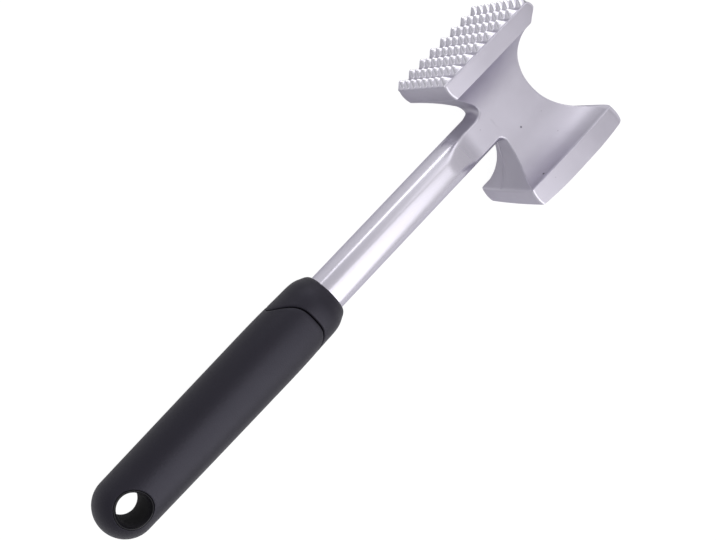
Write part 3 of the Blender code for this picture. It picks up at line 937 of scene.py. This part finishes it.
def lathe(stations, sides, closed):
    """A turned body along X. A station's place and radius may follow the angle from the top."""
    shape = bmesh.new()
    rings = []
    for place, radius in stations:
        if radius == 0:
            rings.append([shape.verts.new((place, 0, 0))])
            continue
        ring = []
        for step in range(sides):
            angle = 2 * math.pi * step / sides
            x = place(angle) if callable(place) else place
            out = radius(angle) if callable(radius) else radius
            ring.append(shape.verts.new((x, out * math.sin(angle), out * math.cos(angle))))
        rings.append(ring)
    pairs = list(zip(rings, rings[1:]))
    if closed:
        pairs.append((rings[-1], rings[0]))
    for first, second in pairs:
        for step in range(sides):
            after = (step + 1) % sides
            around = [first[step % len(first)], first[after % len(first)],
                      second[after % len(second)], second[step % len(second)]]
            shape.faces.new(list(dict.fromkeys(around)))
    return shape


def lip(side):
    """The seam's rounded lip on one of its sides, from its bottom up to the grip's surface."""
    stations = []
    for share in (0.0, 0.12, 0.3, 0.55, 1.0):
        def place(angle, share=share):
            return seam_at(angle) + side * (clearance / 2 + lip_width * share)

        def radius(angle, share=share):
            x = seam_at(angle) + side * (clearance / 2 + lip_width * share)
            return outer_radius(x) - lip_depth * (1 - math.sqrt(1 - (1 - share) ** 2))
        stations.append((place, radius))
    return stations


def between(share, x_first, x_second):
    """A station part of the way from the seam's lip to a plain ring."""
    def place(angle):
        return x_first(angle) + (x_second - x_first(angle)) * share

    def radius(angle):
        return outer_radius(place(angle))
    return place, radius


def collar_lip_end(angle):
    """Where the collar's surface starts ahead of the seam."""
    return seam_at(angle) + clearance / 2 + lip_width


collar_stations = lip(1)
collar_stations += [between(step / lip_steps, collar_lip_end, shoulder_x + lip_fade)
                    for step in range(1, lip_steps + 1)]
front_line = ((0.0005, 0.0), (0.0002, 0.00012), (0.00005, 0.0004), (0.0, 0.0007))
shoulder_places = run(shoulder_x + shoulder_lead, -grip_front - front_line[0][0], count=16)
collar_stations += [(x, outer_radius(x)) for x in shoulder_places]
collar_stations += [(-grip_front - back, outer_radius(-grip_front - back) - down)
                    for back, down in front_line]
bore = shank_radius + bore_gap
collar_stations += [(-grip_front, bore + bore_chamfer), (-grip_front - bore_chamfer, bore), (seat_x, bore),
                    (seat_x, core_radius + clearance),
                    (lambda angle: seam_at(angle) + clearance / 2, core_radius + clearance)]
collar = finish_mesh("grip_collar", lathe(collar_stations, grip_sides, True), crossing, sharp_edge)


def add_grain(tree, shader, place, size, height, detail):
    """The fine matt grain of a spark-eroded mould, as a bump of a size and a height."""
    grain = add_node(tree, "ShaderNodeTexNoise", {
        "Vector": place, "Scale": 1 / size, "Detail": detail,
    }).outputs["Fac"]
    bump = add_node(tree, "ShaderNodeBump", {"Height": grain, "Distance": height, "Strength": 1.0})
    tree.links.new(bump.outputs["Normal"], shader.inputs["Normal"])


# Hard black polypropylene from a spark-eroded mould: an even charcoal with a fine matt grain
hard_plastic, tree, shader, place = start_material("moulded_black_polypropylene", {
    "Roughness": 0.46, "IOR": 1.49, "Specular IOR Level": 0.42, "Specular Tint": hex_colour("#EDEBFF"),
})
two_tones(tree, shader, place, "#141218", "#1A181F", size=0.009, detail=3.0)
add_grain(tree, shader, place, size=0.0004, height=0.00003, detail=2.0)
collar.data.materials.append(hard_plastic)
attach(collar, "root")
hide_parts("front_collar")


# The sleeve. Soft elastomer is moulded over the core: barrelled, domed at the butt, and bored
# across for the hanging hole. It is matt, with a broad dull sheen that clouds a little.

hole_from_butt = 0.0128
hole_radius = 0.0058
liner_radius = 0.0073
liner_rim = 0.0004
bore_half = 0.0079
hole_wall = 0.0020
rim_rounding = 0.00035
rim_steps = 4
cutter_flare = 0.00056
cutter_lift = 0.000105
cutter_overrun = 0.0030
hole_x = butt_x + hole_from_butt
sleeve_floor = hole_x + liner_radius + clearance + hole_wall
seam_margin = 0.0024
plain_end = -(grip_front + collar_length + seam_drop + seam_margin)
dome_steps = 22


def sleeve_lip_end(angle):
    """Where the sleeve's surface starts behind the seam."""
    return seam_at(angle) - clearance / 2 - lip_width


sleeve_stations = [(butt_x, 0)]
for step in range(1, dome_steps):
    x = dome_x - butt_length * math.cos(math.pi / 2 * step / dome_steps)
    sleeve_stations.append((x, outer_radius(x)))
sleeve_stations += [(x, outer_radius(x)) for x in run(dome_x, plain_end, count=56)]
sleeve_stations += [between(1 - step / lip_steps, sleeve_lip_end, plain_end) for step in range(lip_steps)]
sleeve_stations += list(reversed(lip(-1)))
sleeve_stations += [(lambda angle: seam_at(angle) - clearance / 2, core_radius + clearance),
                    (sleeve_floor, core_radius + clearance), (sleeve_floor, 0)]
sleeve = finish_mesh("grip_sleeve_soft", lathe(sleeve_stations, grip_sides, False), Vector())


def hole_ring(shape, radius, height, sides):
    """A ring of the hanging hole. Its height may follow the grip's surface."""
    ring = []
    for step in range(sides):
        angle = 2 * math.pi * step / sides
        x, y = hole_x + radius * math.cos(angle), radius * math.sin(angle)
        z = height(x, y) if callable(height) else height
        ring.append(shape.verts.new((x, y, z)))
    return ring


def surface(x, y):
    """The height of the grip's surface above its axis."""
    return math.sqrt(max(outer_radius(x) ** 2 - y ** 2, 0.0))


def sunk(side, depth):
    """A height that follows the grip's surface from a depth below it, on one of its sides."""
    return lambda x, y: side * (surface(x, y) - depth)


hole_sides = 96
cutter_shape = bmesh.new()
cut_radius = liner_radius + clearance / 3
cut_rings = []
flare = [(cut_radius + rim_rounding * (1 - math.sin(angle)), rim_rounding * (1 - math.cos(angle)))
         for angle in (math.pi / 2 * step / rim_steps for step in range(rim_steps + 1))]
for side in (1, -1):
    end = side * (grip_radius + cutter_overrun)
    outer = [hole_ring(cutter_shape, cut_radius + cutter_flare, end, hole_sides)]
    for radius, depth in [(cut_radius + cutter_flare, -cutter_lift)] + flare:
        outer.append(hole_ring(cutter_shape, radius, sunk(side, depth), hole_sides))
    cut_rings.append(outer)
cut_rings = cut_rings[0] + list(reversed(cut_rings[1]))
for first, second in zip(cut_rings, cut_rings[1:]):
    bridge(cutter_shape, first, second)
cutter_shape.faces.new(cut_rings[0])
cutter_shape.faces.new(cut_rings[-1])
cutter = finish_mesh("hole_cutter", cutter_shape, Vector())
cut = sleeve.modifiers.new("hanging_hole", "BOOLEAN")
cut.operation = "DIFFERENCE"
cut.solver = "EXACT"
cut.object = cutter
bpy.context.view_layer.update()
evaluated = sleeve.evaluated_get(bpy.context.evaluated_depsgraph_get())
sleeve.data = bpy.data.meshes.new_from_object(evaluated)
sleeve.modifiers.clear()
bpy.data.objects.remove(cutter, do_unlink=True)
sleeve.data.transform(Matrix.Translation(crossing))
sleeve.data.shade_smooth()
sleeve.data.set_sharp_from_angle(angle=sharp_edge)

elastomer, tree, shader, place = start_material("soft_touch_elastomer", {
    "IOR": 1.50, "Specular IOR Level": 0.42, "Specular Tint": hex_colour("#EDEBFF"),
})
cloud = two_tones(tree, shader, place, "#131117", "#19171E", size=0.022, detail=4.0, roughness=0.6)
rough = add_node(tree, "ShaderNodeMapRange", {
    "Value": cloud, "To Min": 0.40, "To Max": 0.50,
}).outputs["Result"]
tree.links.new(rough, shader.inputs["Roughness"])
add_grain(tree, shader, place, size=0.0005, height=0.00006, detail=3.0)
sleeve.data.materials.append(elastomer)
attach(sleeve, "root")
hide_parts("grip_sleeve")


# The hole's liner. A hard eyelet lines the hanging hole. A thin round bead stands at its rim,
# and inside it the bore is countersunk from both ends.

liner_shape = bmesh.new()
liner_rings = []
bead_inner = liner_radius - 0.0006
countersink_shares = (0.35, 0.7, 0.92)
countersink_bend = 1.15
liner_line = [(liner_radius, 0.0020), (liner_radius, liner_rim), (liner_radius - 0.00008, 0.00012),
              (liner_radius - 0.00025, 0.0), (liner_radius - 0.00045, 0.0001), (bead_inner, liner_rim)]
for side in (1, -1):
    half = [hole_ring(liner_shape, radius, sunk(side, depth), hole_sides) for radius, depth in liner_line]
    for share in countersink_shares:
        radius = bead_inner + (hole_radius - bead_inner) * share

        def height(x, y, share=share):
            start = surface(x, y) - liner_rim
            return side * (start + (bore_half - start) * share ** countersink_bend)
        half.append(hole_ring(liner_shape, radius, height, hole_sides))
    half.append(hole_ring(liner_shape, hole_radius, side * (bore_half - liner_rim), hole_sides))
    liner_rings.append(half)
liner_rings = liner_rings[0] + list(reversed(liner_rings[1]))
for first, second in zip(liner_rings, liner_rings[1:] + liner_rings[:1]):
    bridge(liner_shape, first, second)
liner = finish_mesh("hole_eyelet", liner_shape, crossing, sharp_edge)

# Satin polypropylene, a little glossier and darker than the sleeve round it
liner_plastic, tree, shader, place = start_material("satin_black_polypropylene", {"IOR": 1.49})
two_tones(tree, shader, place, "#0D0C11", "#121117", size=0.004, detail=2.0)
axes = add_node(tree, "ShaderNodeSeparateXYZ", {"Vector": place}).outputs
aside = add_node(tree, "ShaderNodeMath", {
    0: axes["X"], 1: crossing.x + hole_x,
}, operation="SUBTRACT").outputs[0]
across = add_node(tree, "ShaderNodeMath", {0: axes["Y"], 1: crossing.y}, operation="SUBTRACT").outputs[0]
flat = add_node(tree, "ShaderNodeCombineXYZ", {"X": aside, "Y": across}).outputs[0]
from_axis = add_node(tree, "ShaderNodeVectorMath", {0: flat}, operation="LENGTH").outputs["Value"]
polish = add_node(tree, "ShaderNodeMapRange", {
    "Value": from_axis,
    "From Min": hole_radius, "From Max": bead_inner, "To Min": 0.85, "To Max": 0.34,
}).outputs["Result"]
tree.links.new(polish, shader.inputs["Roughness"])
add_grain(tree, shader, place, size=0.0004, height=0.00002, detail=1.0)
liner.data.materials.append(liner_plastic)
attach(liner, "root")
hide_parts("hole_liner")


# The floor and the light. A white sheet lies under the mallet and keeps a faint shadow. Two long
# soft boxes hang over the grip and the shank, as over a product table, and two smaller ones light
# the head from its toothed side, one of them low so that the rims catch it.

floor_reach = 3.0
sheet_glow = 1.14
seen_share = 0.85
mirrored_share = 0.15
ceiling_way = (0.10, -0.34, 0.93)
wall_colour = (0.46, 0.46, 0.48, 1.0)
window_colour = (0.94, 0.93, 0.96, 1.0)
ceiling_colour = (0.58, 0.57, 0.59, 1.0)

floor_shape = bmesh.new()
bmesh.ops.create_grid(floor_shape, x_segments=1, y_segments=1, size=floor_reach)
floor = finish_mesh("paper_floor", floor_shape, Vector())
paper, tree, shader, _ = start_material("white_paper_sheet", {
    "Base Color": hex_colour("#CDCDCF"), "Roughness": 0.9, "Specular IOR Level": 0.0,
})
rays = add_node(tree, "ShaderNodeLightPath").outputs
seen = add_node(tree, "ShaderNodeMath", {
    0: rays["Is Camera Ray"], 1: rays["Is Transmission Ray"],
}, operation="MAXIMUM").outputs[0]
mirrored = add_node(tree, "ShaderNodeMath", {
    0: rays["Is Glossy Ray"], 1: mirrored_share,
}, operation="MULTIPLY").outputs[0]
share = add_node(tree, "ShaderNodeMath", {
    0: seen, 1: seen_share, 2: mirrored,
}, operation="MULTIPLY_ADD").outputs[0]
glow = add_node(tree, "ShaderNodeEmission", {
    "Color": (1.0, 1.0, 1.0, 1.0), "Strength": sheet_glow,
}).outputs[0]
sheet = add_node(tree, "ShaderNodeMixShader", {0: share, 1: shader.outputs[0], 2: glow}).outputs[0]
tree.links.new(sheet, tree.nodes["Material Output"].inputs["Surface"])
floor.data.materials.append(paper)

world = bpy.data.worlds.new("studio_room")
bpy.context.scene.world = world
world.use_nodes = True
tree = world.node_tree
room = tree.nodes["Background"]
direction = add_node(tree, "ShaderNodeTexCoord").outputs["Generated"]
lean = add_node(tree, "ShaderNodeVectorMath", {
    0: direction, 1: ceiling_way,
}, operation="DOT_PRODUCT").outputs["Value"]
ceiling = add_node(tree, "ShaderNodeMapRange", {
    "Value": lean, "From Min": 0.28, "From Max": 0.68,
}, interpolation_type="SMOOTHSTEP").outputs["Result"]
sideways = add_node(tree, "ShaderNodeSeparateXYZ", {"Vector": direction}).outputs["X"]
window = add_node(tree, "ShaderNodeMapRange", {
    "Value": sideways, "From Min": 0.10, "From Max": 0.42,
}, interpolation_type="SMOOTHSTEP").outputs["Result"]
walls = add_node(tree, "ShaderNodeMix", {
    0: window, 6: wall_colour, 7: window_colour,
}, data_type="RGBA").outputs[2]
level = add_node(tree, "ShaderNodeMix", {
    0: ceiling, 6: walls, 7: ceiling_colour,
}, data_type="RGBA").outputs[2]
tree.links.new(level, room.inputs["Color"])
room.inputs["Strength"].default_value = 1.0


def standing(place, right, up, back):
    """Where a lamp or a camera stands, and how it is turned, from its three directions."""
    turn = Matrix((right, up, back)).transposed()
    return Matrix.Translation(place) @ turn.to_4x4()


def soft_box(name, place, target, along, long_side, short_side, power):
    """A rectangular lamp that faces a target. Its long side follows a direction."""
    lamp = bpy.data.lights.new(name, "AREA")
    lamp.shape = "RECTANGLE"
    lamp.size, lamp.size_y, lamp.energy = long_side, short_side, power
    holder = bpy.data.objects.new(name, lamp)
    bpy.context.scene.collection.objects.link(holder)
    away = (Vector(place) - Vector(target)).normalized()
    across = away.cross(Vector(along)).normalized()
    holder.matrix_world = standing(place, across.cross(away), across, away)


soft_box("grip_box", place=(-0.08, -0.272, 0.555), target=(-0.07, 0.0, 0.02), along=(0, 1, 0),
         long_side=1.20, short_side=0.34, power=2.7)
soft_box("shank_box", place=(0.165, -0.344, 0.51), target=(0.05, 0.0, 0.02), along=(0, 1, 0),
         long_side=1.60, short_side=0.15, power=0.66)
soft_box("head_box", place=(0.42, 0.46, 0.36), target=(0.10, 0.0, 0.02), along=(0, 0, 1),
         long_side=0.80, short_side=0.24, power=0.36)
soft_box("rim_box", place=(0.33, 0.60, 0.12), target=(0.10, 0.0, 0.02), along=(1, 0, 0),
         long_side=0.42, short_side=0.14, power=0.31)


# The camera. It looks down on the lying mallet from the grip's side, as the photograph does.

camera_place = Vector((-0.10943, 0.17779, 0.53902))
camera_target = Vector((0.014837, -0.009878, 0.0))
camera_top = Vector((0.70987, 0.69978, -0.07999))
camera = bpy.data.cameras.new("product_camera")
camera.sensor_width = 36.0
camera.lens = 74.38
camera.clip_start = 0.01
view = bpy.data.objects.new("product_camera", camera)
bpy.context.scene.collection.objects.link(view)
camera_back = (camera_place - camera_target).normalized()
camera_right = camera_top.cross(camera_back).normalized()
view.matrix_world = standing(camera_place, camera_right, camera_back.cross(camera_right), camera_back)
bpy.context.scene.camera = view
bpy.context.scene.view_settings.view_transform = "Standard"
